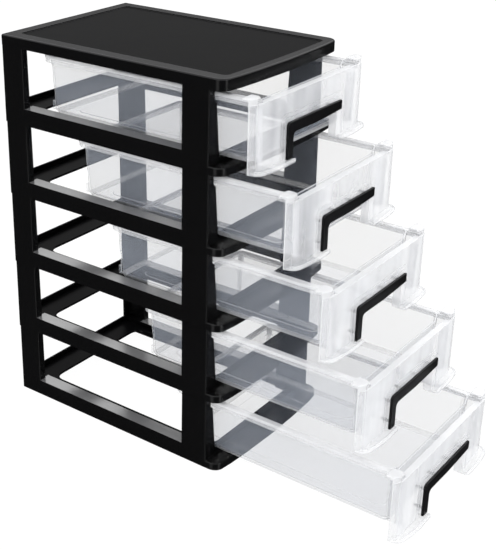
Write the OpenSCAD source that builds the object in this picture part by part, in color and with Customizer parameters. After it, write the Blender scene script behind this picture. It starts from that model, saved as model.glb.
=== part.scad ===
// Desktop tower of five pull-out drawers.
// Five identical open tier frames stack on pegs under a flat top cover.
// Each drawer is a clear tray with a clear front panel clipped to it and a
// dark handle trim pressed into the panel. The drawers stand out in steps,
// the top one least and the bottom one most.
// Origin: centre of the footprint on the floor. Front is -Y, up is +Z.

/* [Tower] */
// Width across the side walls at the foot of a tier
tower_w = 167.6; // [160:0.4:176]
// Depth from the back face to the front of the posts
frame_d = 226; // [216:1:240]
// How far the front lip of each tier stands ahead of the posts
lip_d = 15; // [14:0.5:18]
// Height of one tier, from seam to seam
tier_h = 69; // [66:1:76]
// Height of the top cover
cover_h = 10; // [9:0.5:14]
// How far each side wall leans in over one tier
draft = 1; // [0:0.1:1.2]
// Wall thickness of the frame mouldings
wall = 2.4; // [2:0.1:2.6]

/* [Posts and rails] */
// Depth of a front post
post_d = 27; // [22:0.5:30]
// Depth of a back post
back_post_d = 24.4; // [20:0.2:28]
// Height of the side ledge above the foot of a tier
ledge_z = 15.5; // [14:0.5:18]
// Height of the surface that a drawer slides on
runner_z = 10.9; // [10:0.1:11]
// Height of the pegs that lock a tier to the one above
peg_h = 5; // [3:0.5:6]

/* [Drawers] */
// How much farther each drawer stands out than the one above it
step_out = 36; // [0:1:36]
// How far a drawer travels from closed to its stop
travel = 185; // [182:1:186]
// Wall thickness of the clear trays
tray_wall = 1.6; // [1.4:0.1:2]
// Thickness of the clear front panels
panel_t = 2; // [1.6:0.1:2.2]
// Width of the handle opening in a front panel
grip_w = 69; // [60:1:70]
// Height of the top of the handle trim above the foot of its tier
trim_top = 41; // [38:0.5:43]
// Width of the handle trim's upright leg
trim_leg = 8; // [6:0.5:9]

/* [Hidden] */
$fn = 48;

tiers = 5;
gap = 0.3;                          // clearance between mating mouldings
hw = tower_w / 2;                   // half width at the foot of a tier
yb = (frame_d + lip_d) / 2;         // back face
yf = yb - frame_d;                  // front face of the posts
yl = yf - lip_d;                    // front of the lip
cover_z = tiers * tier_h;           // underside of the top cover

post_in = hw - 15.4;                // inner face of a front post at the foot
post_in_hi = hw - 11.4;             // the same near the top
notch_x = hw - 8.3;                 // recess for the drawer rim at the top
back_in = hw - 7.8;                 // inner face of a back post
back_flange = hw - 14.1;            // edge of the back post's flange
ledge_in = hw - 12.8;               // inner edge of the side ledge
runner_in = hw - 20.8;              // inner edge of the runner flange

tray_z = runner_z + 0.4;            // underside of a tray
rim_z = tier_h - 3.3;               // top of a tray's rim
skirt_z = tier_h - 9.2;             // lower edge of the rim's skirt
tray_lo = hw - 15.9;                // half width of a tray at the floor
tray_hi = hw - 12.8;                // half width of a tray at the rim
rim_x = hw - 8.8;                   // half width over the rim
tray_back = yb - 7.5;               // rear wall of a closed tray
rim_back = yb - 3.5;                // rear edge of its rim
tray_front = yf + 6;                // front wall of a closed tray
panel_y = yf - 6;                   // front face of a closed panel
panel_lo = 8;                       // lower edge of a panel
panel_hi = tier_h - 5.5;            // upper edge of a panel
lug_z = tier_h - 0.7;               // top of the lugs at its corners
grip_x0 = trim_leg - 41;            // left side of the handle opening
grip_x1 = grip_x0 + grip_w;         // right side of the handle opening
grip_z = trim_top - 8.5;            // top of the handle opening

function tier_z(i) = (tiers - i) * tier_h;
function out(i) = i * step_out;
function side_x(z) = hw - draft * z / tier_h;
// half width of a tray's outer wall at height z
function tray_x(z) = tray_lo + (tray_hi - tray_lo) * (z - tray_z) / (rim_z - tray_z);

module both() { children(); mirror([1, 0, 0]) children(); }

module box(x0, x1, y0, y1, z0, z1)
    translate([x0, y0, z0]) cube([x1 - x0, y1 - y0, z1 - z0]);

// an outline in X and Z, drawn out from y0 to y1
module slab_xz(points, y0, y1)
    translate([0, y1, 0]) rotate([90, 0, 0]) linear_extrude(y1 - y0) polygon(points);

// an outline in plan, drawn up from z0 to z1
module slab_xy(points, z0, z1)
    translate([0, 0, z0]) linear_extrude(z1 - z0) polygon(points);

module round_rect(x0, x1, y0, y1, r) {
    translate([x0 + r, y0]) square([x1 - x0 - 2 * r, y1 - y0]);
    translate([x0, y0 + r]) square([x1 - x0, y1 - y0 - 2 * r]);
    for (x = [x0 + r, x1 - r], y = [y0 + r, y1 - r]) translate([x, y]) circle(r);
}

// plan of a front lip: clipped corners and a bowed front,
// d is how far the outline is drawn in, f how far it is brought forward
function lip_half(s, x, d, f) = [
    [s * (x - d), yf + 0.01],
    [s * (x - d), yl + 8 + 0.3 * d - f],
    [s * (x - 1.2 - 0.8 * d), yl + 5.4 + 0.6 * d - f],
    [s * (x - 3.8 - 0.5 * d), yl + 2.9 + 0.8 * d - f],
    [s * (x - 7.8 - 0.2 * d), yl + 1.6 + d - f],
    [s * (x - 20), yl + 0.2 + d - f],
    [s * (x - 42), yl - 1.1 + d - f]];
function rev(v) = [for (k = [len(v) - 1:-1:0]) v[k]];
function lip_plan(x, d, f = 0) =
    concat(lip_half(1, x, d, f), [[0, yl - 2.2 + d - f]], rev(lip_half(-1, x, d, f)));

// ---------------------------------------------------------------- tier frame

module front_post() {
    difference() {
        slab_xz([[side_x(0), 0], [side_x(tier_h), tier_h], [notch_x, tier_h],
                 [notch_x, tier_h - 10], [post_in_hi, tier_h - 12.7],
                 [post_in, runner_z], [post_in, 0]], yf, yf + post_d);
        // hollow core, open at the foot
        slab_xz([[hw - wall, -1], [hw - draft - wall, tier_h - wall],
                 [notch_x + wall, tier_h - wall], [notch_x + wall, tier_h - 8.5],
                 [post_in_hi + wall + 0.3, tier_h - 13.2],
                 [post_in + wall, runner_z], [post_in + wall, -1]],
                yf + wall, yf + post_d - wall);
    }
    // peg for the tier above
    box(notch_x + 0.7, hw - wall - gap, yf + wall + gap, yf + post_d - wall - gap,
        tier_h - 0.01, tier_h + peg_h);
}

module back_post() {
    difference() {
        slab_xz([[side_x(0), 0], [side_x(tier_h), tier_h], [back_in, tier_h], [back_in, 0]],
                yb - back_post_d, yb);
        box(back_in + 2, hw - wall, yb - back_post_d + 2, yb - wall, -1, tier_h - wall);
    }
    // flange along the back edge
    box(back_flange, back_in + 0.01, yb - 2.6, yb, 0, tier_h);
    box(back_in + 2 + gap, hw - wall - gap, yb - back_post_d + 2 + gap, yb - wall - gap,
        tier_h - 0.01, tier_h + peg_h);
}

module side_rail() {
    y0 = yf + post_d - 0.01;
    y1 = yb - back_post_d + 0.01;
    // outer wall and the flat ledge above it
    slab_xz([[side_x(0), 0], [side_x(ledge_z), ledge_z], [ledge_in, ledge_z],
             [ledge_in, 0], [ledge_in + 2, 0], [ledge_in + 2, ledge_z - 2.2],
             [hw - wall, ledge_z - 2.2], [hw - wall, 0]], y0, y1);
    // inner wall carried back past the back post
    box(ledge_in, ledge_in + 2, yb - back_post_d, yb - 2, 0, ledge_z);
    box(ledge_in, back_in + 0.01, yb - back_post_d, yb - 2, ledge_z - 2.2, ledge_z);
}

// flat frame of flanges that the tray slides on, with rounded inner corners
module runner_ring()
    translate([0, 0, runner_z - 2.2]) linear_extrude(2.2) difference() {
        polygon([[-ledge_in - 1, yf], [ledge_in + 1, yf], [ledge_in + 1, yb - 2],
                 [-ledge_in - 1, yb - 2]]);
        round_rect(-runner_in, runner_in, yf + 7.5, yb - back_post_d, 10);
    }

module front_rail() {
    // top and front of the lip
    difference() {
        slab_xy(lip_plan(side_x(0), 0), 0, runner_z - 3.6);
        slab_xy([for (p = lip_plan(side_x(0), 2.2)) [p[0], min(p[1], yf - 2.2)]],
                -1, runner_z - 5.8);
    }
    // step up to the runner
    box(-post_in - 1, post_in + 1, yf - 0.01, yf + 2.2, 0, runner_z);
    box(-post_in - 1, post_in + 1, yf + 5.5, yf + 7.5, 0, runner_z);
}

module back_rail()
    box(-back_flange - 1, back_flange + 1, yb - 2.2, yb, 0, ledge_z + 0.5);

module tier_frame(i)
    color([0.055, 0.055, 0.06])
    translate([0, 0, tier_z(i)]) {
        both() { front_post(); back_post(); side_rail(); }
        difference() {
            union() { runner_ring(); front_rail(); back_rail(); }
            // keep the sockets of the front posts open
            both() box(post_in + wall, hw - wall, yf + wall, yf + post_d - wall, -1, 20);
        }
    }

// ----------------------------------------------------------------- top cover

module top_cover()
    color([0.06, 0.06, 0.065])
    translate([0, 0, cover_z]) {
        t = 2.4;
        difference() {
            union() {
                // deck with skirts down to the posts
                box(-hw + 0.3, hw - 0.3, yf, yb, 0, cover_h);
                slab_xy(lip_plan(hw - 0.3, 0, 1.2), 0, cover_h);
            }
            // shallow panel with a raised border round it
            translate([0, 0, cover_h - 0.8]) linear_extrude(2)
                round_rect(-hw + 12, hw - 12, yl + 8, yb - 11.5, 8);
            // underside, hollow but for the corner sockets
            box(-ledge_in, ledge_in, yf + 0.01, yb - t, -1, cover_h - t - 0.8);
            both() box(ledge_in + 2, hw - t, yf + post_d + 1, yb - back_post_d - 1,
                       -1, cover_h - t - 0.8);
            slab_xy([for (p = lip_plan(hw - 0.3, t, 1.2)) [p[0], min(p[1], yf - 2)]],
                    -1, cover_h - t - 0.8);
            // sockets over the pegs of the top tier
            both() {
                box(notch_x + 0.7 - gap, hw - wall, yf + wall, yf + post_d - wall,
                    -1, peg_h + 0.5);
                box(back_in + 2, hw - wall, yb - back_post_d + 2, yb - wall,
                    -1, peg_h + 0.5);
            }
        }
    }

// --------------------------------------------------------------- drawer tray

module tray_block(inset, z0, z1, r) {
    hull() for (z = [z0, z1], s = [-1, 1]) {
        x = tray_x(z) - inset;
        lean = 1.2 * (1 - (z - tray_z) / (rim_z - tray_z));
        translate([s * (x - r), tray_back - lean - inset - r, z])
            cylinder(r = r, h = 0.02, $fn = 32);
        translate([s * (x - r), tray_front + lean + inset + r, z])
            cylinder(r = r, h = 0.02, $fn = 32);
    }
}

// a side wall's forward wing, which carries the front panel
module tray_wing()
    slab_xz([[tray_x(tray_z), tray_z], [tray_x(rim_z), rim_z],
             [tray_x(rim_z) - tray_wall, rim_z], [tray_x(tray_z) - tray_wall, tray_z]],
            yf - 3.8, tray_front + 8);

module drawer_tray(i)
    color([0.93, 0.95, 0.97, 0.35])
    translate([0, -out(i), tier_z(i)]) {
        difference() {
            union() {
                tray_block(0, tray_z, rim_z - 0.02, 6);
                both() {
                    tray_wing();
                    // rim carried forward over the wing
                    box(tray_x(rim_z) - tray_wall, rim_x, yf - 3.6, tray_front + 9,
                        rim_z - 2, rim_z);
                    box(rim_x - 1.5, rim_x, yf - 3.6, tray_front + 9, skirt_z, rim_z);
                    // stop that meets the back of the front post at full travel
                    box(tray_x(17) - 1, notch_x - 4.8, yf + post_d + travel + gap,
                        yf + post_d + travel + 3, 17, 25);
                }
                // rim flange with its turned-down skirt
                translate([0, 0, rim_z - 2]) linear_extrude(2)
                    round_rect(-rim_x, rim_x, tray_front, rim_back, 8);
                translate([0, 0, skirt_z]) linear_extrude(rim_z - skirt_z) difference() {
                    round_rect(-rim_x, rim_x, tray_front, rim_back, 8);
                    round_rect(-rim_x + 1.5, rim_x - 1.5, tray_front - 9, rim_back - 1.5, 6.5);
                }
            }
            tray_block(tray_wall, tray_z + tray_wall, rim_z + 1, 4.5);
            // the front wall is lower, behind the panel's top flange
            box(-tray_x(60) + 5, tray_x(60) - 5, tray_front - 1, tray_front + 8,
                rim_z - 5, rim_z + 1);
            both() box(0, tray_x(60) - tray_wall, tray_front - 1, tray_front + 2,
                       rim_z - 5, rim_z + 1);
        }
        // ribs along the side walls
        both() for (z = [28, 44]) 
            box(tray_x(z) - 0.2, tray_x(z) + 0.35, tray_front + 12, tray_back - 12, z, z + 1.2);
    }

// -------------------------------------------------------------- front panel

// plan of the panel's skin at its outer (d = 0) or inner (d = panel_t) face
function panel_half(s, d) = [
    [s * (hw - d), yf - 0.6],
    [s * (hw - d), yf - 1.4],
    [s * (hw - 1.2 - 0.8 * d), yf - 2.6 + 0.4 * d],
    [s * (hw - 3.3 - 0.8 * d), yf - 3.4 + 0.8 * d],
    [s * (hw - 8.8 - 0.4 * d), panel_y + 0.2 + d],
    [s * (hw - 40), panel_y - 0.3 + d]];
panel_plan = concat(panel_half(1, 0), rev(panel_half(-1, 0)),
                    panel_half(-1, panel_t), rev(panel_half(1, panel_t)));

// plan of the foot flange on one side, from the handle opening to the corner
function foot_side(s, x0) = [
    [s * x0, panel_y + 1], [s * x0, yl + 3], [s * (x0 + 1.2), yl + 1.6],
    [s * (x0 + 3), yl + 0.9], [s * 54, yl + 0.4], [s * 66, yl + 1.3],
    [s * 75, yl + 2.5], [s * 79.5, yl + 4], [s * 82.6, yl + 7], [s * 83.6, yl + 10],
    [s * 83.6, yf - 1.5], [s * 80, yf - 1.5], [s * 73, panel_y + 1]];

module grip_cut(grow, z1)
    slab_xz([[grip_x0 - grow, 0], [grip_x1 + grow, 0], [grip_x1 + grow, z1 - 4 + grow],
             [grip_x1 - 1.5, z1 - 1 + grow], [grip_x1 - 4, z1 + grow],
             [grip_x0 + 4, z1 + grow], [grip_x0 + 1.5, z1 - 1 + grow],
             [grip_x0 - grow, z1 - 4 + grow]], yl - 5, panel_y + panel_t + 1);

module drawer_front(i)
    color([0.93, 0.95, 0.97, 0.35])
    translate([0, -out(i), tier_z(i)]) {
        difference() {
            union() {
                slab_xy(panel_plan, panel_lo, panel_hi);
                // foot flange either side of the handle opening
                slab_xy(foot_side(-1, -grip_x0), panel_lo, panel_lo + 2.2);
                slab_xy(foot_side(1, grip_x1), panel_lo, panel_lo + 2.2);
                // flange back from the top edge, and the lugs that cap the tray's rim
                box(-tray_x(60) + tray_wall + gap, tray_x(60) - tray_wall - gap,
                    panel_y + 0.5, yf, panel_hi - 2, panel_hi);
                both() {
                    slab_xz([[70, rim_z + gap], [rim_x + gap, rim_z + gap],
                             [rim_x + gap, panel_hi - 2.5], [hw - 3, panel_hi - 3.5],
                             [hw - 0.6, panel_hi - 1], [hw, panel_hi + 1], [hw, lug_z - 1.5],
                             [hw - 1.5, lug_z], [71, lug_z], [70, lug_z - 1]],
                            yf - 3.6, yf + 6.5);
                    slab_xz([[70, panel_hi - 4], [hw - 3, panel_hi - 4],
                             [hw - 0.6, panel_hi - 1], [hw, panel_hi + 1], [hw, lug_z - 1.5],
                             [hw - 1.5, lug_z], [71, lug_z], [70, lug_z - 1]],
                            panel_y, yf - 3.9);
                }
                // raised surround that the trim is pressed on to
                slab_xz([[-44, panel_lo], [44, panel_lo], [44, trim_top - 1],
                         [40, trim_top + 3], [-40, trim_top + 3], [-44, trim_top - 1]],
                        panel_y - 2, panel_y + 0.5);
            }
            grip_cut(0, grip_z);
            // holes for the trim's pins
            for (p = trim_pins) translate([p[0], panel_y - 3, p[1]])
                rotate([-90, 0, 0]) cylinder(d = 2.6, h = 8, $fn = 24);
        }
        // clip ribs that grip the tray's wings
        both() {
            slab_xz([[tray_x(14) + gap, 14], [tray_x(56) + gap, 56],
                     [tray_x(56) + gap + 1.6, 56], [tray_x(14) + gap + 1.6, 14]],
                    panel_y + panel_t - 0.6, yf - 0.6);
            slab_xz([[tray_x(14) - tray_wall - gap - 1.6, 14],
                     [tray_x(56) - tray_wall - gap - 1.6, 56],
                     [tray_x(56) - tray_wall - gap, 56],
                     [tray_x(14) - tray_wall - gap, 14]],
                    panel_y + panel_t - 0.6, yf + 3);
        }
    }

// --------------------------------------------------------------- handle trim

trim_pins = [[-37, 20], [-37, 35], [-18, trim_top - 4.2], [7, trim_top - 4.2],
             [32, trim_top - 4.2]];

module handle_trim(i)
    color([0.04, 0.04, 0.045])
    translate([0, -out(i), tier_z(i)]) {
        // upright leg and the bar along the top, deeper at its middle
        slab_xz([[-41, 10.3], [-41, trim_top - 3], [-40, trim_top - 0.9],
                 [-38, trim_top], [41, trim_top], [41, trim_top - 6.5],
                 [22, trim_top - 8.6], [0, trim_top - 9.8], [-22, trim_top - 9.4],
                 [-30.5, trim_top - 9.4], [-32.3, trim_top - 10.2],
                 [-41 + trim_leg, trim_top - 12.5], [-41 + trim_leg, 10.3]],
                panel_y - 3.8, panel_y - 2);
        for (p = trim_pins) translate([p[0], panel_y - 2.5, p[1]])
            rotate([-90, 0, 0]) cylinder(d = 2.3, h = 4.2, $fn = 24);
    }

top_cover();
tier_frame(1);  // tier_frame_1
tier_frame(2);  // tier_frame_2
tier_frame(3);  // tier_frame_3
tier_frame(4);  // tier_frame_4
tier_frame(5);  // tier_frame_5
drawer_tray(1);  // drawer_tray_1
drawer_tray(2);  // drawer_tray_2
drawer_tray(3);  // drawer_tray_3
drawer_tray(4);  // drawer_tray_4
drawer_tray(5);  // drawer_tray_5
drawer_front(1);  // drawer_front_1
drawer_front(2);  // drawer_front_2
drawer_front(3);  // drawer_front_3
drawer_front(4);  // drawer_front_4
drawer_front(5);  // drawer_front_5
handle_trim(1);  // handle_trim_1
handle_trim(2);  // handle_trim_2
handle_trim(3);  // handle_trim_3
handle_trim(4);  // handle_trim_4
handle_trim(5);  // handle_trim_5
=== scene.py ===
import bpy, bmesh, math
from mathutils import Vector, Matrix
from mathutils.geometry import tessellate_polygon


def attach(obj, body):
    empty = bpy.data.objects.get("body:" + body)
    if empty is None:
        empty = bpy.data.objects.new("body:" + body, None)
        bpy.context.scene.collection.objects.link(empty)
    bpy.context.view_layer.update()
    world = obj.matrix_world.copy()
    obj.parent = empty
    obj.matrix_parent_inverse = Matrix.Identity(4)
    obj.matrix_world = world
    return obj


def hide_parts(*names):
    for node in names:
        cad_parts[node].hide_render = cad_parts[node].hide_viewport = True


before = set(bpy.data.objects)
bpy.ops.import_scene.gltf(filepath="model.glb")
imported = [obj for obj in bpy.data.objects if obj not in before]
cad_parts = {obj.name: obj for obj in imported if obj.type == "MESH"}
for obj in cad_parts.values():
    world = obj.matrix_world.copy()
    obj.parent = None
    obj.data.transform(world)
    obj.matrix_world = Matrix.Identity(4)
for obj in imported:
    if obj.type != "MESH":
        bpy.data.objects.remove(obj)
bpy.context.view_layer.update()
scene = bpy.context.scene
TIERS = 5

# Sizes in millimetres, in the frame of one tier: front -Y, up +Z, foot at z 0.
TIER = 69.0
HW, YB, YF, YL = 83.8, 120.5, -105.5, -120.5
STEP = 36.0


# ---------------------------------------------------------------- mesh helpers
def corner_steps(pts, radii, seg):
    """How many arc steps each corner gets; None keeps the corner sharp."""
    ks = []
    n = len(pts)
    for i, p in enumerate(pts):
        r = radii[i] if isinstance(radii, (list, tuple)) else radii
        a = Vector(pts[i - 1]) - Vector(p)
        b = Vector(pts[(i + 1) % n]) - Vector(p)
        ang = a.angle(b)
        if r <= 0 or abs(ang - math.pi) < 0.02:
            ks.append(None)
        else:
            ks.append(max(2, math.ceil(seg * (math.pi - ang) / (math.pi / 2) - 0.01)))
    return ks


def fillet(pts, radii, seg=5, ks=None):
    """Round the corners of a closed outline."""
    out = []
    n = len(pts)
    ks = ks or corner_steps(pts, radii, seg)
    for i, p in enumerate(pts):
        r = radii[i] if isinstance(radii, (list, tuple)) else radii
        p = Vector(p)
        a = Vector(pts[i - 1]) - p
        b = Vector(pts[(i + 1) % n]) - p
        la, lb = a.length, b.length
        a.normalize()
        b.normalize()
        ang = a.angle(b)
        if ks[i] is None:
            out.append((p.x, p.y))
            continue
        t = min(r / math.tan(ang / 2), 0.48 * la, 0.48 * lb)
        r = t * math.tan(ang / 2)
        c = p + (a + b).normalized() * (r / math.sin(ang / 2))
        s, e = p + a * t - c, p + b * t - c
        a0 = math.atan2(s.y, s.x)
        d = math.atan2(e.y, e.x) - a0
        while d > math.pi:
            d -= 2 * math.pi
        while d < -math.pi:
            d += 2 * math.pi
        k = ks[i]
        for j in range(k + 1):
            q = a0 + d * j / k
            out.append((c.x + r * math.cos(q), c.y + r * math.sin(q)))
    return out


def area(p):
    return sum(p[i - 1][0] * p[i][1] - p[i][0] * p[i - 1][1] for i in range(len(p))) / 2


def offset(p, d):
    """Outline drawn in by d (positive d goes to the left of a counter-clockwise loop)."""
    n = len(p)
    out = []
    for i in range(n):
        a = Vector(p[i]) - Vector(p[i - 1])
        b = Vector(p[(i + 1) % n]) - Vector(p[i])
        na = Vector((-a.y, a.x)).normalized()
        nb = Vector((-b.y, b.x)).normalized()
        k = max(1 + na.dot(nb), 0.35)
        out.append((p[i][0] + (na.x + nb.x) * d / k, p[i][1] + (na.y + nb.y) * d / k))
    return out


class Outline:
    """A closed plan with rounded corners that can be drawn in or out cleanly."""

    def __init__(self, pts, radii=0.0, seg=5):
        n = len(pts)
        radii = list(radii) if isinstance(radii, (list, tuple)) else [radii] * n
        if area(pts) < 0:
            pts, radii = pts[::-1], radii[::-1]
        self.pts, self.radii, self.seg, self.hole = [tuple(p) for p in pts], radii, seg, False

    def as_hole(self):
        o = Outline(self.pts, self.radii, self.seg)
        o.pts, o.radii, o.hole = o.pts[::-1], o.radii[::-1], True
        return o

    def at(self, d):
        p = offset(self.pts, d)
        rad = []
        n = len(p)
        for i in range(n):
            a = Vector(self.pts[i]) - Vector(self.pts[i - 1])
            b = Vector(self.pts[(i + 1) % n]) - Vector(self.pts[i])
            r = self.radii[i]
            if r > 0:
                r = max(r - d, 0.04) if a.cross(b) > 0 else max(r + d, 0.04)
            rad.append(r)
        return fillet(p, rad, self.seg, corner_steps(self.pts, self.radii, self.seg))


def to_axis(axis, u, v, w):
    if axis == "z":
        return (u, v, w)
    if axis == "y":
        return (u, w, v)
    return (w, u, v)


def prism(loops, axis, lo, hi, r_lo=0.4, r_hi=0.4, seg=2, shape=None):
    """A closed solid: an outline (and holes) drawn out along an axis with rounded edges."""
    if isinstance(loops, Outline):
        loops = [loops]
    elif not isinstance(loops[0], Outline):
        loops = [Outline(loops)]
    bm = bmesh.new()
    levels = [(lo + r_lo * (1 - math.cos(q)), r_lo * (1 - math.sin(q)))
              for q in ([(math.pi / 2) * j / seg for j in range(seg + 1)] if r_lo > 0 else [math.pi / 2])]
    top = [(hi - r_hi * (1 - math.cos(q)), r_hi * (1 - math.sin(q)))
           for q in ([(math.pi / 2) * j / seg for j in range(seg + 1)] if r_hi > 0 else [math.pi / 2])]
    levels += top[::-1]
    first, last = [], []
    for k, lp in enumerate(loops):
        p = lp.as_hole() if k > 0 else lp
        rings = []
        for w, d in levels:
            rings.append([bm.verts.new(to_axis(axis, u, v, w)) for u, v in p.at(d)])
        n = len(rings[0])
        for a, b in zip(rings, rings[1:]):
            for i in range(n):
                bm.faces.new((a[i], a[(i + 1) % n], b[(i + 1) % n], b[i]))
        first.append(rings[0])
        last.append(rings[-1])
    for rings in (first, last):
        if len(rings) == 1:
            bm.faces.new(rings[0])
            continue
        flat = [v for r in rings for v in r]
        polys = [[Vector(v.co) for v in r] for r in rings]
        for t in tessellate_polygon(polys):
            try:
                bm.faces.new([flat[i] for i in t])
            except ValueError:
                pass
    if shape:
        for v in bm.verts:
            v.co = Vector(shape(*v.co))
    bmesh.ops.recalc_face_normals(bm, faces=bm.faces)
    return bm


def loft(loops, closed=False):
    """Skin closed loops of equal count; caps at both ends unless closed on itself."""
    bm = bmesh.new()
    rings = [[bm.verts.new(p) for p in lp] for lp in loops]
    n = len(loops[0])
    pairs = list(zip(rings, rings[1:]))
    if closed:
        pairs.append((rings[-1], rings[0]))
    for a, b in pairs:
        for i in range(n):
            bm.faces.new((a[i], a[(i + 1) % n], b[(i + 1) % n], b[i]))
    if not closed:
        bm.faces.new(rings[0])
        bm.faces.new(rings[-1])
    bmesh.ops.recalc_face_normals(bm, faces=bm.faces)
    return bm


def mirrored(bm):
    new = bm.copy()
    for v in new.verts:
        v.co.x = -v.co.x
    bmesh.ops.reverse_faces(new, faces=new.faces)
    return new


def tmp_object(bm, name="tmp"):
    me = bpy.data.meshes.new(name)
    bm.to_mesh(me)
    ob = bpy.data.objects.new(name, me)
    scene.collection.objects.link(ob)
    return ob


def combine(base, adds=(), cuts=()):
    """Union and difference by Blender's exact solver; returns a clean bmesh."""
    for k, b in enumerate([base, *adds, *cuts]):
        loose = sum(1 for e in b.edges if len(e.link_faces) != 2)
        vol = b.calc_volume(signed=True)
        if loose or vol <= 0:
            print("PIECE", k, "loose edges", loose, "volume", round(vol, 1))
    ob = tmp_object(base)
    trash = [ob]
    for kind, items in (("UNION", adds), ("DIFFERENCE", cuts)):
        for it in items:
            o = tmp_object(it)
            trash.append(o)
            m = ob.modifiers.new("b", "BOOLEAN")
            m.operation = kind
            m.solver = "EXACT"
            m.object = o
    dg = bpy.context.evaluated_depsgraph_get()
    me = bpy.data.meshes.new_from_object(ob.evaluated_get(dg))
    bm = bmesh.new()
    bm.from_mesh(me)
    bpy.data.meshes.remove(me)
    for o in trash:
        d = o.data
        bpy.data.objects.remove(o)
        bpy.data.meshes.remove(d)
    bmesh.ops.remove_doubles(bm, verts=bm.verts, dist=0.002)
    bmesh.ops.dissolve_degenerate(bm, edges=bm.edges, dist=0.002)
    bmesh.ops.delete(bm, geom=[e for e in bm.edges if not e.link_faces], context="EDGES")
    print("COMBINED", len(bm.faces), "volume", round(bm.calc_volume(signed=True), 1))
    return bm


def finish_mesh(bm, name, angle=32):
    for v in bm.verts:
        v.co *= 0.001
    lim = math.radians(angle)
    for f in bm.faces:
        f.smooth = True
    for e in bm.edges:
        e.smooth = not (len(e.link_faces) != 2 or e.calc_face_angle(0) > lim)
    me = bpy.data.meshes.new(name)
    bm.to_mesh(me)
    # flat faces keep flat shading next to their rounded edges
    ob = bpy.data.objects.new(name, me)
    scene.collection.objects.link(ob)
    w = ob.modifiers.new("n", "WEIGHTED_NORMAL")
    w.keep_sharp = True
    w.weight = 90
    dg = bpy.context.evaluated_depsgraph_get()
    new = bpy.data.meshes.new_from_object(ob.evaluated_get(dg))
    bpy.data.objects.remove(ob)
    bpy.data.meshes.remove(me)
    new.name = name
    return new


def box(x0, x1, y0, y1, z0, z1, r=0.3):
    return prism([(x0, y0), (x1, y0), (x1, y1), (x0, y1)], "z", z0, z1, r, r)


# ------------------------------------------------------------------ materials
def new_mat(name):
    m = bpy.data.materials.new(name)
    m.use_nodes = True
    nt = m.node_tree
    nt.nodes.clear()
    out = nt.nodes.new("ShaderNodeOutputMaterial")
    bsdf = nt.nodes.new("ShaderNodeBsdfPrincipled")
    nt.links.new(bsdf.outputs["BSDF"], out.inputs["Surface"])
    return m, nt, bsdf, out


def noise(nt, coord, scale, detail=2.0, rough=0.5):
    n = nt.nodes.new("ShaderNodeTexNoise")
    n.inputs["Scale"].default_value = scale
    n.inputs["Detail"].default_value = detail
    n.inputs["Roughness"].default_value = rough
    nt.links.new(coord, n.inputs["Vector"])
    return n.outputs["Fac"]


def ramp(nt, fac, lo, hi):
    r = nt.nodes.new("ShaderNodeMapRange")
    r.inputs["To Min"].default_value = lo
    r.inputs["To Max"].default_value = hi
    nt.links.new(fac, r.inputs["Value"])
    return r.outputs["Result"]


def black_plastic(name, base, rough, spec, grain, bump=0.03):
    """Moulded black plastic: a faint cloudiness in the colour, a fine moulded grain."""
    m, nt, b, out = new_mat(name)
    tc = nt.nodes.new("ShaderNodeTexCoord").outputs["Object"]
    cloud = noise(nt, tc, 14.0, 3.0)
    mix = nt.nodes.new("ShaderNodeMix")
    mix.data_type = "RGBA"
    mix.inputs[6].default_value = (*[c * 0.8 for c in base], 1)
    mix.inputs[7].default_value = (*[c * 1.25 for c in base], 1)
    nt.links.new(cloud, mix.inputs[0])
    nt.links.new(mix.outputs[2], b.inputs["Base Color"])
    fine = noise(nt, tc, grain, 2.0)
    nt.links.new(ramp(nt, cloud, rough * 0.85, rough * 1.15), b.inputs["Roughness"])
    bp = nt.nodes.new("ShaderNodeBump")
    bp.inputs["Strength"].default_value = bump
    bp.inputs["Distance"].default_value = 0.0003
    nt.links.new(fine, bp.inputs["Height"])
    nt.links.new(bp.outputs["Normal"], b.inputs["Normal"])
    b.inputs["Specular IOR Level"].default_value = spec
    return m


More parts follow.
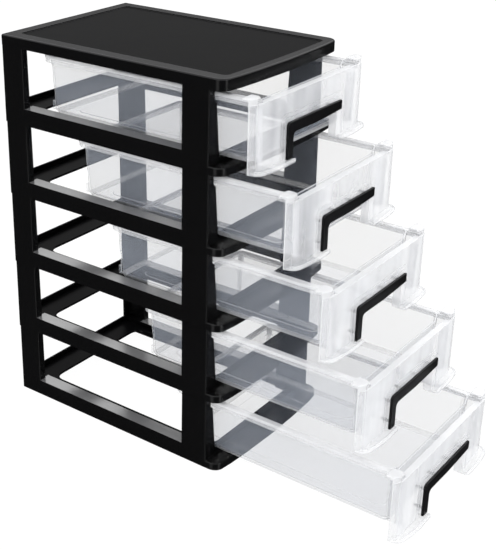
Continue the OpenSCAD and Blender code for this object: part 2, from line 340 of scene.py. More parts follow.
def clear_plastic(name, haze, graze, rough, tint=(0.985, 0.982, 0.976), milk=(0.80, 0.85, 0.93), spec=0.5,
                  streak=False):
    """Clear moulded plastic: lets light through, with a bluish milkiness that
    grows where the wall is seen edge-on, and faint flow marks of the moulding."""
    m, nt, b, out = new_mat(name)
    tc = nt.nodes.new("ShaderNodeTexCoord").outputs["Object"]
    if streak:
        # the front runs in upright streaks
        mp = nt.nodes.new("ShaderNodeMapping")
        mp.inputs["Scale"].default_value = (4.0, 4.0, 0.7)
        nt.links.new(tc, mp.inputs["Vector"])
        flow = noise(nt, mp.outputs[0], 14.0, 1.0)
    else:
        flow = noise(nt, tc, 11.0, 3.0)
    fine = noise(nt, tc, 160.0, 2.0)
    b.inputs["Base Color"].default_value = (*milk, 1)
    b.inputs["Specular IOR Level"].default_value = spec
    nt.links.new(ramp(nt, fine, rough * 0.7, rough * 1.3), b.inputs["Roughness"])
    bp = nt.nodes.new("ShaderNodeBump")
    bp.inputs["Strength"].default_value = 0.25
    bp.inputs["Distance"].default_value = 0.0008
    nt.links.new(flow, bp.inputs["Height"])
    nt.links.new(bp.outputs["Normal"], b.inputs["Normal"])
    lw = nt.nodes.new("ShaderNodeLayerWeight")
    lw.inputs["Blend"].default_value = 0.5
    cube = nt.nodes.new("ShaderNodeMath")
    cube.operation = "POWER"
    cube.inputs[1].default_value = 2.5
    nt.links.new(lw.outputs["Facing"], cube.inputs[0])
    edge = ramp(nt, cube.outputs[0], haze, haze + graze)
    var = ramp(nt, flow, 0.72, 1.28) if streak else ramp(nt, flow, 0.72, 1.28)
    if streak:
        var.node.inputs["From Min"].default_value = 0.30
        var.node.inputs["From Max"].default_value = 0.70
    mul = nt.nodes.new("ShaderNodeMath")
    mul.operation = "MULTIPLY"
    mul.use_clamp = True
    nt.links.new(edge, mul.inputs[0])
    nt.links.new(var, mul.inputs[1])
    tr = nt.nodes.new("ShaderNodeBsdfTransparent")
    tr.inputs["Color"].default_value = (*tint, 1)
    mx = nt.nodes.new("ShaderNodeMixShader")
    nt.links.new(mul.outputs[0], mx.inputs[0])
    nt.links.new(tr.outputs["BSDF"], mx.inputs[1])
    nt.links.new(b.outputs["BSDF"], mx.inputs[2])
    nt.links.new(mx.outputs["Shader"], out.inputs["Surface"])
    return m


M_FRAME = black_plastic("frame_black", (0.0020, 0.0020, 0.0022), 0.24, 0.17, 900.0)
# the ledges' grey base colour is a painted sheen: the black ledge tops are made lighter to stand in for the backdrop
# they reflect, on top of their real gloss
M_LEDGE_PAINTED_SHEEN = black_plastic("frame_gloss_painted_sheen", (0.115, 0.115, 0.118), 0.16, 0.95, 500.0, 0.01)
M_RUN = black_plastic("frame_runner", (0.0022, 0.0022, 0.0025), 0.38, 0.015, 1400.0, 0.05)
M_LID = black_plastic("cover_panel", (0.0026, 0.0026, 0.0028), 0.38, 0.012, 1400.0, 0.05)
M_BORDER = black_plastic("cover_border", (0.0048, 0.0048, 0.0055), 0.22, 0.10, 700.0, 0.02)
M_TRIM = black_plastic("trim_black", (0.0020, 0.0020, 0.0024), 0.35, 0.15, 900.0)
M_CLEAR = clear_plastic("clear_plastic", 0.076, 0.12, 0.12, tint=(0.956, 0.953, 0.947), milk=(0.70, 0.76, 0.88))
M_BASE = clear_plastic("clear_floor", 0.045, 0.05, 0.12, tint=(0.912, 0.912, 0.914), milk=(0.64, 0.70, 0.83))
M_FRONT = clear_plastic("clear_front", 0.36, 0.20, 0.12, tint=(0.960, 0.958, 0.955), milk=(0.78, 0.79, 0.815), streak=True)
M_THICK = clear_plastic("clear_thick", 0.30, 0.24, 0.15, tint=(0.965, 0.963, 0.960), milk=(0.72, 0.73, 0.75))
M_EDGE = clear_plastic("clear_edge", 0.58, 0.26, 0.18, tint=(0.955, 0.955, 0.955), milk=(0.69, 0.695, 0.71))


# ----------------------------------------------------------------- tier frame
POST_IN, POST_HI, NOTCH = 68.4, 72.4, 75.5
BACK_IN, BACK_FL, LEDGE_IN, RUN_IN = 76.0, 69.7, 71.0, 63.0
LEDGE_Z, RUN_Z = 15.5, 10.9


def sx(z):
    return HW - z / TIER


def lip_outline(x, f=0.0, back=YF + 1.0, back_r=0):
    """Plan of a front lip: rounded corners and a bowed front."""
    half = [(x, YL + 7.9 - f), (x - 4.6, YL + 2.0 - f), (x - 20, YL + 0.2 - f), (x - 42, YL - 1.1 - f)]
    rad = [9.5, 8.0, 0, 0]
    pts = [(-x, back)] + [(-a, b) for a, b in half] + [(0, YL - 2.2 - f)] + \
          [(a, b) for a, b in half[::-1]] + [(x, back)]
    return Outline(pts, [back_r] + rad + [0] + rad[::-1] + [back_r], 8)


def tier_mesh():
    yp = YF + 27.0
    yq = YB - 24.4
    parts = []

    def slab(outline, y0, y1, rad=0.6, re=0.5):
        return prism(Outline(outline, rad, 3), "y", y0, y1, re, re)

    # front post
    post = slab([(sx(0), 0), (sx(TIER), TIER), (NOTCH, TIER), (NOTCH, TIER - 10),
                 (POST_HI, TIER - 12.7), (POST_IN, RUN_Z), (POST_IN, 0)], YF, yp, 0.5, 1.0)
    back = slab([(sx(0), 0), (sx(TIER), TIER), (BACK_IN, TIER), (BACK_IN, 0)], yq, YB, 0.4, 0.9)
    fl = box(BACK_FL, BACK_IN + 0.3, YB - 2.6, YB - 0.02, 0.02, TIER - 0.02, 0.4)
    rail = slab([(sx(0) - 0.02, 0.04), (sx(LEDGE_Z) - 0.02, LEDGE_Z), (LEDGE_IN, LEDGE_Z), (LEDGE_IN, 0.04),
                 (LEDGE_IN + 2, 0.04), (LEDGE_IN + 2, LEDGE_Z - 2.2), (HW - 2.45, LEDGE_Z - 2.2),
                 (HW - 2.45, 0.04)], yp - 1.5, yq + 1.5, 0.35, 0.0)
    inner = box(LEDGE_IN + 0.02, LEDGE_IN + 1.85, yq - 0.5, YB - 2, 0.07, LEDGE_Z - 0.07, 0.3)
    shelf = box(LEDGE_IN + 0.05, BACK_IN + 0.3, yq - 0.7, YB - 2.25, LEDGE_Z - 2.05, LEDGE_Z - 0.04, 0.3)
    peg_f = box(NOTCH + 0.7, HW - 2.7, YF + 2.7, yp - 2.7, TIER - 1, TIER + 5, 0.6)
    peg_b = box(BACK_IN + 2.3, HW - 2.7, yq + 2.3, YB - 2.7, TIER - 1, TIER + 5, 0.6)
    # the side pieces, each with its mirror copy
    side = [post, back, fl, rail, inner, shelf, peg_f, peg_b]
    for p in side:
        parts.append(p)
        parts.append(mirrored(p))
    hole = Outline([(-RUN_IN, YF + 7.5), (RUN_IN, YF + 7.5), (RUN_IN, yq), (-RUN_IN, yq)], 10, 8)
    ring = prism([Outline([(-LEDGE_IN - 1, YF + 0.05), (LEDGE_IN + 1, YF + 0.05), (LEDGE_IN + 1, YB - 2.05),
                           (-LEDGE_IN - 1, YB - 2.05)]), hole], "z", RUN_Z - 2.2, RUN_Z, 0.3, 0.5)
    lip_top = prism(lip_outline(sx(0)), "z", 0.0, 7.3, 0.7, 1.1, 4)
    step1 = box(-POST_IN - 0.6, POST_IN + 0.6, YF + 0.03, YF + 2.2, 0.05, RUN_Z - 0.02, 0.4)
    step2 = box(-POST_IN - 0.6, POST_IN + 0.6, YF + 5.5, YF + 7.48, 0.05, RUN_Z - 0.6, 0.3)
    back_rail = box(-BACK_FL - 0.6, BACK_FL + 0.6, YB - 2.2, YB - 0.04, 0.04, LEDGE_Z + 0.5, 0.5)
    parts += [ring, lip_top, step1, step2, back_rail]
    cuts = []
    lip_in = lip_outline(sx(0), 0, YF)
    lip_in.pts = offset(lip_in.pts, 2.2)
    cuts.append(prism(lip_in, "z", -2, 5.1, 0, 0.4))
    sock = slab([(HW - 2.4, -1), (HW - 3.4, TIER - 2.4), (NOTCH + 2.4, TIER - 2.4), (NOTCH + 2.4, TIER - 8.5),
                 (POST_HI + 2.7, TIER - 13.2), (POST_IN + 2.4, RUN_Z), (POST_IN + 2.4, -1)],
                YF + 2.4, yp - 2.4, 0.3, 0.4)
    bsock = box(BACK_IN + 2, HW - 2.4, yq + 2, YB - 2.4, -1, TIER - 2.4, 0.3)
    for c in (sock, bsock):
        cuts += [c, mirrored(c)]
    return combine(parts[0], parts[1:], cuts)


def cover_mesh():
    x = HW - 0.3
    top = prism(lip_outline(x, 1.2, YB, 1.8), "z", 0, 10, 0.5, 1.6, 5)
    f = 1.2
    bow = [(-71.5, YB - 12), (-71.5, YL + 7), (-60, YL + 7.2), (-30, YL + 6.0), (0, YL + 5.6),
           (30, YL + 6.0), (60, YL + 7.2), (71.5, YL + 7), (71.5, YB - 12)]
    recess = Outline(bow, [4, 9, 0, 0, 0, 0, 0, 9, 4], 8)
    adds = []
    cuts = [prism(recess, "z", 8.9, 12, 0.5, 0.0, 3)]
    cuts.append(box(-LEDGE_IN, LEDGE_IN, YF + 0.01, YB - 2.4, -1, 6.8, 0.4))
    for s in (1, -1):
        c = box(LEDGE_IN + 2, HW - 2.4, YF + 28, YB - 25.4, -1, 6.8, 0.3)
        p1 = box(NOTCH + 0.4, HW - 2.4, YF + 2.4, YF + 24.6, -1, 5.5, 0.2)
        p2 = box(BACK_IN + 2, HW - 2.4, YB - 22.4, YB - 2.4, -1, 5.5, 0.2)
        for c_ in (c, p1, p2):
            cuts.append(c_ if s == 1 else mirrored(c_))
    lip_in = lip_outline(x, 1.2, YF)
    lip_in.pts = offset(lip_in.pts, 2.4)
    cuts.append(prism(lip_in, "z", -1, 6.8, 0, 0.4))
    return combine(top, adds, cuts)


# ----------------------------------------------------------------------- tray
TRAY_Z, RIM_Z, SKIRT_Z = 11.3, 65.7, 59.2
TRAY_LO, TRAY_HI, RIM_X = 67.9, 71.0, 75.0
TRAY_BACK, RIM_BACK, TRAY_FRONT = 113.0, 117.0, -99.5


def tx(z):
    return TRAY_LO + (TRAY_HI - TRAY_LO) * (z - TRAY_Z) / (RIM_Z - TRAY_Z)


def tray_loop(z, inset, r, front_top=None):
    """Plan of the tray at a height: rounded rectangle that leans outward as it rises."""
    lean = 1.2 * (1 - (z - TRAY_Z) / (RIM_Z - TRAY_Z))
    x = tx(z) - inset
    y0, y1 = TRAY_FRONT + lean + inset, TRAY_BACK - lean - inset
    out = []
    for cx, cy, a0 in ((x - r, y1 - r, 0), (-x + r, y1 - r, 90), (-x + r, y0 + r, 180), (x - r, y0 + r, 270)):
        for j in range(9):
            q = math.radians(a0 + 90 * j / 8)
            out.append((cx + r * math.cos(q), cy + r * math.sin(q)))
    # extra points along the front so that its top can step down
    pts = []
    n = len(out)
    for i, p in enumerate(out):
        pts.append(p)
        q = out[(i + 1) % n]
        if i == 26:
            for t in (0.03, 0.07, 0.93, 0.97):
                pts.append((p[0] + (q[0] - p[0]) * t, p[1] + (q[1] - p[1]) * t))
    res = []
    for u, v in pts:
        w = z
        if front_top is not None and v < y0 + 0.3 and abs(u) < x - r - 2.5:
            w = z - (RIM_Z - front_top)
        res.append((u, v, w))
    return res


def tray_mesh():
    t = 1.6
    loops = []
    R = 6.0
    # outer skin with a chamfered foot and shallow raised bands along the walls
    loops.append(tray_loop(TRAY_Z, 3.0, R - 1.5))
    for a in (20, 50, 90):
        q = math.radians(a)
        loops.append(tray_loop(TRAY_Z + 0.9 * (1 - math.cos(q)), 3.0 - 0.9 * math.sin(q), R - 1))
    loops.append(tray_loop(15.0, 0.55, R))
    loops.append(tray_loop(15.6, 0.1, R))
    for z0, d0, z1, d1 in ((29.6, 0.1, 30.6, 0.35), (35.4, 0.35, 36.4, 0.1), (47.4, 0.1, 48.4, 0.35), (55.7, 0.35, 56.7, 0.1)):
        loops.append(tray_loop(z0, d0, R))
        loops.append(tray_loop(z1, d1, R))
    loops.append(tray_loop(RIM_Z - 0.5, 0.0, R, 61.0))
    loops.append(tray_loop(RIM_Z, 0.4, R - 0.3, 61.0))
    loops.append(tray_loop(RIM_Z, t - 0.4, R - t + 0.4, 61.0))
    loops.append(tray_loop(RIM_Z - 0.5, t, R - t, 61.0))
    # inner skin
    for z, d in ((56.4, t), (48.0, t), (36.0, t), (30.0, t)):
        loops.append(tray_loop(z, d, R - t))
    loops.append(tray_loop(16.2, t, R - t))
    loops.append(tray_loop(15.2, t + 0.4, R - t))
    for a in (90, 60, 25):
        q = math.radians(a)
        loops.append(tray_loop(TRAY_Z + t + 1.2 * (1 - math.sin(q)) * 0 + 1.0 * (1 - math.cos(math.radians(a))) * 0.9,
                               t + 3.2 - 1.6 * math.sin(q) + 0.4, R - t - 1))
    loops.append(tray_loop(TRAY_Z + t, t + 4.2, R - t - 1.5))
    # a shallow raised field in the floor
    loops.append(tray_loop(TRAY_Z + t, 14.0, 8.0))
    loops.append(tray_loop(TRAY_Z + t + 0.5, 14.8, 8.0))
    shell = loft(loops)
    # rim flange with its turned-down skirt, swept along both sides and the back
    sect = fillet([(-1.0, RIM_Z - 2.4), (2.2, RIM_Z - 2.4), (2.2, SKIRT_Z), (3.5, SKIRT_Z), (3.5, 62.8),
                   (4.0, 63.2), (4.0, RIM_Z), (-1.0, RIM_Z)], [0, 0.6, 0.3, 0.4, 0.3, 0.3, 1.1, 0], 3)
    base_r = 4.5
    path = []
    y_end = YF - 3.6
    path.append((-TRAY_HI, y_end, -1, 0))
    path.append((-TRAY_HI, TRAY_FRONT + 2, -1, 0))
    path.append((-TRAY_HI, TRAY_BACK - base_r, -1, 0))
    for j in range(1, 9):
        q = math.radians(180 - 90 * j / 8)
        path.append((-TRAY_HI + base_r + base_r * math.cos(q), TRAY_BACK - base_r + base_r * math.sin(q), math.cos(q), math.sin(q)))
    mirror = [(-a, b, -c, d) for a, b, c, d in path[::-1]]
    path += mirror
    loops = []
    for px, py, nx, ny in path:
        loops.append([(px + nx * u, py + ny * u, w) for u, w in sect])
    rim = loft(loops)
    adds = [rim]
    for s in (1, -1):
        wing = prism(Outline([(tx(TRAY_Z + 3) - 0.02, TRAY_Z + 3), (tx(RIM_Z) - 0.02, RIM_Z - 0.03), (tx(RIM_Z) - 1.58, RIM_Z - 0.03),
                             (tx(TRAY_Z + 3) - 1.58, TRAY_Z + 3)], 0.3, 2), "y", YF - 3.8, TRAY_FRONT + 7.5, 0.4, 0.4)
        stop = prism(Outline([(tx(17) - 1, 17), (70.7, 17), (70.7, 25), (tx(25) - 1, 25)], 0.5, 2), "y", YF + 212.3, YF + 215, 0.4, 0.4)
        for p in (wing, stop):
            adds.append(p if s == 1 else mirrored(p))
    return combine(shell, adds)


# ---------------------------------------------------------------- front panel
PANEL_Y, P_LO, P_HI = -111.5, 8.0, 63.5
GX0, GX1, GZ = -33.0, 36.0, 32.5
PINS = [(-38.0, 16.5), (-38.0, 35.0), (-18.0, 37.6), (9.0, 37.6), (32.0, 37.6)]


def front_mesh():
    def ends(s, pts):
        return [(s * u, v) for u, v in pts]

    face = [(HW, YF - 0.6), (HW, -106.8), (77.6, -110.7), (71.5, -111.5), (43.8, PANEL_Y - 0.3)]
    rear = [(81.9, YF - 0.6), (76.4, -108.4), (71.2, -109.4), (43.8, PANEL_Y + 1.7)]
    plan = Outline(ends(-1, face) + ends(1, face)[::-1] + ends(1, rear) + ends(-1, rear)[::-1],
                   [0.5, 0.8, 1.8, 8.0, 0, 0, 8.0, 1.8, 0.8, 0.5, 0.5, 2.0, 5.0, 0, 0, 5.0, 2.0, 0.5], 6)
    skin = prism(plan, "z", P_LO + 0.02, P_HI, 0.35, 0.45, 3)
    adds = []
    # flange back from the top edge
    adds.append(prism(Outline([(-68.6, PANEL_Y + 0.6), (68.6, PANEL_Y + 0.6), (68.6, YF), (-68.6, YF)], [0, 0, 0.5, 0.5], 3),
                      "z", P_HI - 2, P_HI - 0.02, 0.4, 0.6, 3))
    lug_t = Outline([(70.0, YF + 6.3), (83.8, YF + 6.3), (83.8, -106.7), (77.2, -110.3), (72.6, -109.8), (70.0, -107.2)],
                    [1.0, 2.2, 1.2, 2.4, 2.0, 1.6], 5)
    lug_s = Outline([(75.5, YF - 0.2), (83.75, YF - 0.2), (83.75, -106.6), (77.2, -110.2), (75.5, -109.6)],
                    [0.3, 0.5, 1.0, 1.6, 0.5], 5)
    for s in (1, -1):
        lug = prism(lug_s, "z", 60.5, 66.6, 0.4, 0.0, 3)
        plate = prism(lug_t, "z", 65.95, 68.28, 0.3, 1.0, 4)
        x0 = GX1 if s == 1 else -GX0
        fp = [(x0, PANEL_Y + 1.2), (x0, YL + 0.9), (54, YL + 0.3), (66, YL + 1.3), (75.5, YL + 2.6), (80.5, YL + 5.0),
              (83.3, YL + 9.5), (83.7, YF - 1.6), (80, YF - 1.8), (73, PANEL_Y + 1.2)]
        fr = [0.5, 3.2, 0, 8, 8, 6, 3, 0.8, 0.5, 0]
        foot = prism(Outline(fp, fr, 7), "z", P_LO, P_LO + 2.4, 0.9, 0.9, 4)
        # raised bead along the foot's edge
        bead = prism(Outline([(x0 + 0.8, YL + 1.6), (54, YL + 1.1), (66, YL + 2.1), (75.2, YL + 3.4), (79.9, YL + 5.6),
                             (82.5, YL + 9.9), (81.2, YL + 10.3), (78.9, YL + 6.5), (74.8, YL + 4.7), (66, YL + 3.5),
                             (54, YL + 2.5), (x0 + 0.8, YL + 3.0)], [0.5, 0, 8, 8, 6, 0.5, 0.5, 6, 8, 8, 0, 0.5], 5),
                     "z", P_LO + 1.5, P_LO + 3.2, 0.3, 0.6, 3)
        nub = prism(Outline([(x0 - 0.0, PANEL_Y - 0.6), (x0, YL + 2.2), (x0 - 3.4, YL + 2.2), (x0 - 3.4, PANEL_Y - 0.6)],
                           [0, 0.3, 1.8, 1.6], 5), "z", P_LO + 0.4, P_LO + 2.2, 0.7, 0.7, 3)
        nib = box(x0 + 4, x0 + 7, YL + 2.0, YL + 5, P_LO - 0.9, P_LO + 0.8, 0.4)
        for p in (lug, plate, foot, bead):
            adds.append(p if s == 1 else mirrored(p))
    # hood round the handle: a raised box open below, with bevelled shoulders
    hood = prism(Outline([(-44, P_LO + 0.3), (44, P_LO + 0.3), (44, 41.5), (41.5, 44.2), (-41.5, 44.2), (-44, 41.5)],
                        [0, 0, 2.2, 2.2, 2.2, 2.2], 5), "y", PANEL_Y - 2.0, PANEL_Y + 0.4, 0.5, 0.0, 3)
    hood2 = prism(Outline([(-46.5, P_LO + 0.4), (46.5, P_LO + 0.4), (46.5, 44.0), (43.5, 47.4), (-43.5, 47.4), (-46.5, 44.0)],
                         [0, 0, 2.5, 2.5, 2.5, 2.5], 5), "y", PANEL_Y - 1.0, PANEL_Y + 0.4, 0.5, 0.0, 3)
    adds += [hood2, hood]
    # walls of the handle pocket running back from the opening
    def pocket(g, z0=0.0):
        return Outline([(GX0 - g, z0), (GX1 + g, z0), (GX1 + g, GZ + g), (GX0 - g, GZ + g)], [0, 0, 4 + g, 4 + g], 6)
    adds.append(prism(pocket(1.6, P_LO + 0.5), "y", PANEL_Y + 0.2, PANEL_Y + 5.5, 0.2, 0.5, 2))
    cuts = [prism(pocket(0), "y", YL - 5, PANEL_Y + 8, 0, 0)]
    pins = PINS
    for px, pz in pins:
        c = [(px + 1.3 * math.cos(math.radians(a)), pz + 1.3 * math.sin(math.radians(a))) for a in range(0, 360, 30)]
        cuts.append(prism(c, "y", PANEL_Y - 3, PANEL_Y + 4, 0, 0))
    for s in (1, -1):
        rib = prism([(s * (tx(14) + 0.3), 14), (s * (tx(56) + 0.3), 56), (s * (tx(56) + 1.9), 56), (s * (tx(14) + 1.9), 14)],
                    "y", PANEL_Y + 1.4, YF - 0.6, 0.3, 0.3)
        rib2 = prism([(s * (tx(14) - 3.5), 14), (s * (tx(56) - 3.5), 56), (s * (tx(56) - 1.9), 56), (s * (tx(14) - 1.9), 14)],
                     "y", PANEL_Y + 1.4, YF + 3, 0.3, 0.3)
        adds += [rib, rib2]
    return combine(skin, adds, cuts)


def trim_mesh():
    t = 41.0
    outline = [(-41, 10.3), (-41, t), (40.4, t), (40.4, t - 7.9), (22, t - 9.0), (0, t - 9.8), (-22, t - 9.4),
               (-33, t - 9.4), (-33, 10.3)]
    rad = [0.8, 3.2, 1.0, 0.7, 30, 40, 30, 3.5, 0.8]
    body = prism(Outline(outline, rad, 6), "y", PANEL_Y - 4.2, PANEL_Y - 2.0, 0.8, 0.2, 4)
    adds = []
    for px, pz in PINS:
        c = [(px + 1.15 * math.cos(math.radians(a)), pz + 1.15 * math.sin(math.radians(a))) for a in range(0, 360, 30)]
        adds.append(prism(c, "y", PANEL_Y - 2.5, PANEL_Y + 6.2, 0, 0.4))
    return combine(body, adds)


def instance(me, name, node, body, mats, dy, z):
    data = me.copy()
    data.transform(Matrix.Translation((0, dy * 0.001, z * 0.001)))
    data.name = name
    index = [p.material_index for p in data.polygons]
    data.materials.clear()
    for m in mats:
        data.materials.append(m)
    data.polygons.foreach_set("material_index", index)
    ob = bpy.data.objects.new(name, data)
    scene.collection.objects.link(ob)
    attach(ob, body)
    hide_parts(node)
    return ob


def report(me):
    bm = bmesh.new()
    bm.from_mesh(me)
    bad = sum(1 for e in bm.edges if len(e.link_faces) != 2)
    print("MESH", me.name, len(bm.faces), "open or shared edges", bad)
    bm.free()


tier = finish_mesh(tier_mesh(), "tier_shape")
cover = finish_mesh(cover_mesh(), "cover_shape")
tray = finish_mesh(tray_mesh(), "tray_shape")
front = finish_mesh(front_mesh(), "front_shape")
trim = finish_mesh(trim_mesh(), "trim_shape")
for me in (tier, cover, tray, front, trim):
    report(me)

# a second, glossy finish on the ledges, whose grey base colour is a painted sheen standing in for the backdrop they
# reflect, and the grained finish of the cover's panel
for p in tier.polygons:
    c = p.center * 1000
    if p.normal.z > 0.9 and 15.0 < c.z < 15.6 and abs(c.x) > 70 and c.y < YB - 24.4:
        p.material_index = 1
    elif p.normal.z > 0.9 and 10.0 < c.z < 16.2:
        p.material_index = 2
for p in cover.polygons:
    c = p.center * 1000
    if p.normal.z > 0.98 and 8.5 < c.z < 9.2:
        p.material_index = 1
    elif c.z > 9.2 and p.normal.z > 0.2:
        p.material_index = 2


# thick sections and rounded edges of the clear mouldings get milkier mixes for the extra light thick plastic scatters;
# on the rounded foot edges of the trays and fronts the whitest mix is also a painted highlight, standing in for the
# light those edges reflect
for p in tray.polygons:
    c = p.center * 1000
    n = p.normal
    slant = max(abs(n.x), abs(n.y), abs(n.z)) < 0.955
    outer = abs(c.x) > 71.2 or c.y > 113.4
    if c.z > 62.6 and (outer or n.z > 0.5):
        p.material_index = 2
    elif c.z > 58.5 and outer:
        p.material_index = 1
    elif c.z > 60 and slant:
        p.material_index = 2
    # the trays' rounded front foot: the whitest mix here is a painted highlight for the reflections along its edge
    elif slant and c.y < -92 and c.z < 16.5 and abs(c.x) < 66:
        p.material_index = 2
    elif slant and p.area < 4e-4 and (c.z < 16.5 or abs(n.z) > 0.2):
        p.material_index = 1
    elif slant and abs(c.x) > 62:
        p.material_index = 1
    elif abs(n.z) > 0.9 and c.z < 14:
        p.material_index = 3
for p in front.polygons:
    c = p.center * 1000
    n = p.normal
    slant = max(abs(n.x), abs(n.y), abs(n.z)) < 0.97
    if c.z > 61.0 and abs(n.z) > 0.3:
        p.material_index = 2
    elif c.z > 59.4 and abs(c.x) > 69:
        p.material_index = 2 if slant else 1
    # the fronts' foot and bead: the whitest mix on the slanted faces is a painted highlight for the reflections along
    # the edge
    elif c.z < 11.4 and c.y < -112.6:
        p.material_index = 2 if slant else 1
    elif abs(c.x) > 82.5 and c.y > -108:
        p.material_index = 2
    elif c.y < -112.0 and (abs(n.x) > 0.5 or n.z > 0.5):
        p.material_index = 1
    elif abs(c.x) > 76:
        p.material_index = 1
    elif slant and p.area < 2e-4:
        p.material_index = 1

for i in range(1, TIERS + 1):
    z = (TIERS - i) * TIER
    instance(tier, f"tier_{i}", f"tier_frame_{i}", "frame", [M_FRAME, M_LEDGE_PAINTED_SHEEN, M_RUN], 0, z)
    instance(tray, f"tray_{i}", f"drawer_tray_{i}", f"drawer_{i}", [M_CLEAR, M_THICK, M_EDGE, M_BASE], -STEP * i, z)
    instance(front, f"panel_{i}", f"drawer_front_{i}", f"drawer_{i}", [M_FRONT, M_THICK, M_EDGE], -STEP * i, z)
    instance(trim, f"bezel_{i}", f"handle_trim_{i}", f"drawer_{i}", [M_TRIM], -STEP * i, z)
instance(cover, "cover", "top_cover", "frame", [M_FRAME, M_LID, M_BORDER], 0, TIERS * TIER)
for me in (tier, cover, tray, front, trim):
    bpy.data.meshes.remove(me)

# --------------------------------------------------------------- floor, light
me = bpy.data.meshes.new("floor")
s = 30.0
me.from_pydata([(-s, -s, -0.0003), (s, -s, -0.0003), (s, s, -0.0003), (-s, s, -0.0003)], [], [(0, 1, 2, 3)])
floor = bpy.data.objects.new("floor", me)
scene.collection.objects.link(floor)
m, nt, b, out = new_mat("floor")
tcf = nt.nodes.new("ShaderNodeTexCoord").outputs["Object"]
nt.links.new(ramp(nt, noise(nt, tcf, 3.0), 0.85, 0.95), b.inputs["Roughness"])
b.inputs["Base Color"].default_value = (0.8, 0.8, 0.8, 1)
b.inputs["Specular IOR Level"].default_value = 0.0
lp = nt.nodes.new("ShaderNodeLightPath")
em = nt.nodes.new("ShaderNodeEmission")
em.inputs["Color"].default_value = (1, 1, 1, 1)
em.inputs["Strength"].default_value = 1.03
mx = nt.nodes.new("ShaderNodeMixShader")
sc_ = nt.nodes.new("ShaderNodeMath")
sc_.operation = "MULTIPLY"
sc_.inputs[1].default_value = 0.96
nt.links.new(lp.outputs["Is Camera Ray"], sc_.inputs[0])
nt.links.new(sc_.outputs[0], mx.inputs[0])
nt.links.new(b.outputs["BSDF"], mx.inputs[1])
nt.links.new(em.outputs["Emission"], mx.inputs[2])
geo = nt.nodes.new("ShaderNodeNewGeometry")
below = nt.nodes.new("ShaderNodeBsdfTransparent")
mx2 = nt.nodes.new("ShaderNodeMixShader")
nt.links.new(geo.outputs["Backfacing"], mx2.inputs[0])
nt.links.new(mx.outputs["Shader"], mx2.inputs[1])
nt.links.new(below.outputs["BSDF"], mx2.inputs[2])
nt.links.new(mx2.outputs["Shader"], out.inputs["Surface"])
me.materials.append(m)
floor.visible_glossy = False

w = bpy.data.worlds.new("studio")
scene.world = w
w.use_nodes = True
w.cycles.sampling_method = "NONE"
nt = w.node_tree
nt.nodes.clear()
out = nt.nodes.new("ShaderNodeOutputWorld")
bg = nt.nodes.new("ShaderNodeBackground")
bg2 = nt.nodes.new("ShaderNodeBackground")
mx = nt.nodes.new("ShaderNodeMixShader")
lp = nt.nodes.new("ShaderNodeLightPath")
nt.links.new(lp.outputs["Is Camera Ray"], mx.inputs[0])
nt.links.new(bg.outputs[0], mx.inputs[1])
nt.links.new(bg2.outputs[0], mx.inputs[2])
nt.links.new(mx.outputs[0], out.inputs["Surface"])
bg2.inputs["Color"].default_value = (1, 1, 1, 1)
bg2.inputs["Strength"].default_value = 1.03


def math_node(op, a, b=None, clamp=False):
    n = nt.nodes.new("ShaderNodeMath")
    n.operation = op
    n.use_clamp = clamp
    for k, v in enumerate((a, b)):
        if v is None:
            continue
        if isinstance(v, (int, float)):
            n.inputs[k].default_value = v
        else:
            nt.links.new(v, n.inputs[k])
    return n.outputs[0]


def smooth_step(v, lo, hi, a, b):
    n = nt.nodes.new("ShaderNodeMapRange")
    n.interpolation_type = "SMOOTHSTEP"
    n.inputs["From Min"].default_value = lo
    n.inputs["From Max"].default_value = hi
    n.inputs["To Min"].default_value = a
    n.inputs["To Max"].default_value = b
    nt.links.new(v, n.inputs["Value"])
    return n.outputs["Result"]


# the studio that surfaces reflect: dark low down, a bright ceiling behind and
# above, and two upright soft boxes off to the left and to the right
tc = nt.nodes.new("ShaderNodeTexCoord")
sep = nt.nodes.new("ShaderNodeSeparateXYZ")
nt.links.new(tc.outputs["Generated"], sep.inputs[0])
az = math_node("ARCTAN2", math_node("MULTIPLY", sep.outputs["Y"], -1.0), math_node("MULTIPLY", sep.outputs["X"], -1.0))
high = smooth_step(sep.outputs["Z"], 0.18, 0.52, 0.07, 2.6)
ceil = high


def strip(centre, half, soft, gain):
    d = math_node("ABSOLUTE", math_node("SUBTRACT", az, math.radians(centre)))
    side = smooth_step(d, math.radians(half), math.radians(half + soft), gain, 0.0)
    up = smooth_step(sep.outputs["Z"], -0.75, -0.55, 0.0, 1.0)
    return math_node("MULTIPLY", side, up)


total = math_node("ADD", math_node("ADD", ceil, strip(-4, 9, 8, 1.6)), strip(78, 6, 5, 3.2))
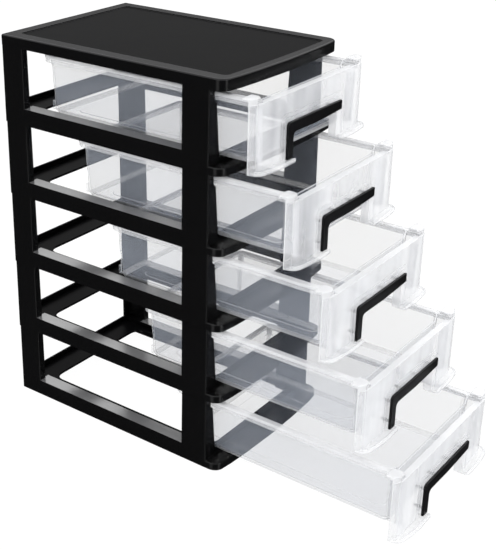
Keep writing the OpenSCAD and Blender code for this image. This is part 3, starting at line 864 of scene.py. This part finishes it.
# surfaces that scatter light get an even dome, a little brighter from above
dome = smooth_step(sep.outputs["Z"], -0.3, 0.8, 1.26, 1.80)
isd = lp.outputs["Is Diffuse Ray"]
total = math_node("ADD", math_node("MULTIPLY", isd, dome),
                  math_node("MULTIPLY", math_node("SUBTRACT", 1.0, isd), total))
nt.links.new(total, bg.inputs["Strength"])
bg.inputs["Color"].default_value = (1, 1, 1, 1)


def lamp(name, loc, target, size, power):
    li = bpy.data.lights.new(name, "AREA")
    li.shape = "RECTANGLE"
    li.size, li.size_y = size
    li.energy = power
    o = bpy.data.objects.new(name, li)
    o.location = loc
    o.rotation_euler = (Vector(target) - Vector(loc)).to_track_quat("-Z", "Y").to_euler()
    scene.collection.objects.link(o)
    o.visible_glossy = False
    return o


lamp("key", (-1.1, -1.0, 2.0), (0, 0, 0.15), (1.2, 1.2), 6.0)

# --------------------------------------------------------------------- camera
cam = bpy.data.cameras.new("photo_camera")
cam.sensor_fit = "AUTO"
cam.sensor_width = 36.0
cam.lens = 36.0 * 1120.3 / 550.0
cam.shift_x = (248 - 189.49) / 550
cam.shift_y = (246.05 - 275) / 550
cam.clip_start = 0.05
yaw, pitch, roll = map(math.radians, (52.560, 24.077, -0.202))
f = Vector((math.sin(yaw) * math.cos(pitch), math.cos(yaw) * math.cos(pitch), -math.sin(pitch)))
r = Vector((math.cos(yaw), -math.sin(yaw), 0))
d = f.cross(r)
c_, s_ = math.cos(roll), math.sin(roll)
r2 = c_ * r + s_ * d
d2 = -s_ * r + c_ * d
rot = Matrix((r2, -d2, -f)).transposed().to_4x4()
co = bpy.data.objects.new("photo_camera", cam)
co.matrix_world = Matrix.Translation((-0.74839, -0.59635, 0.58425)) @ rot
scene.collection.objects.link(co)
scene.camera = co
scene.view_settings.view_transform = "Standard"
scene.view_settings.look = "None"
scene.cycles.use_denoising = True
scene.cycles.max_bounces = 24
scene.cycles.transmission_bounces = 24
scene.cycles.glossy_bounces = 8
scene.cycles.diffuse_bounces = 4
scene.cycles.transparent_max_bounces = 24

bpy.context.view_layer.update()
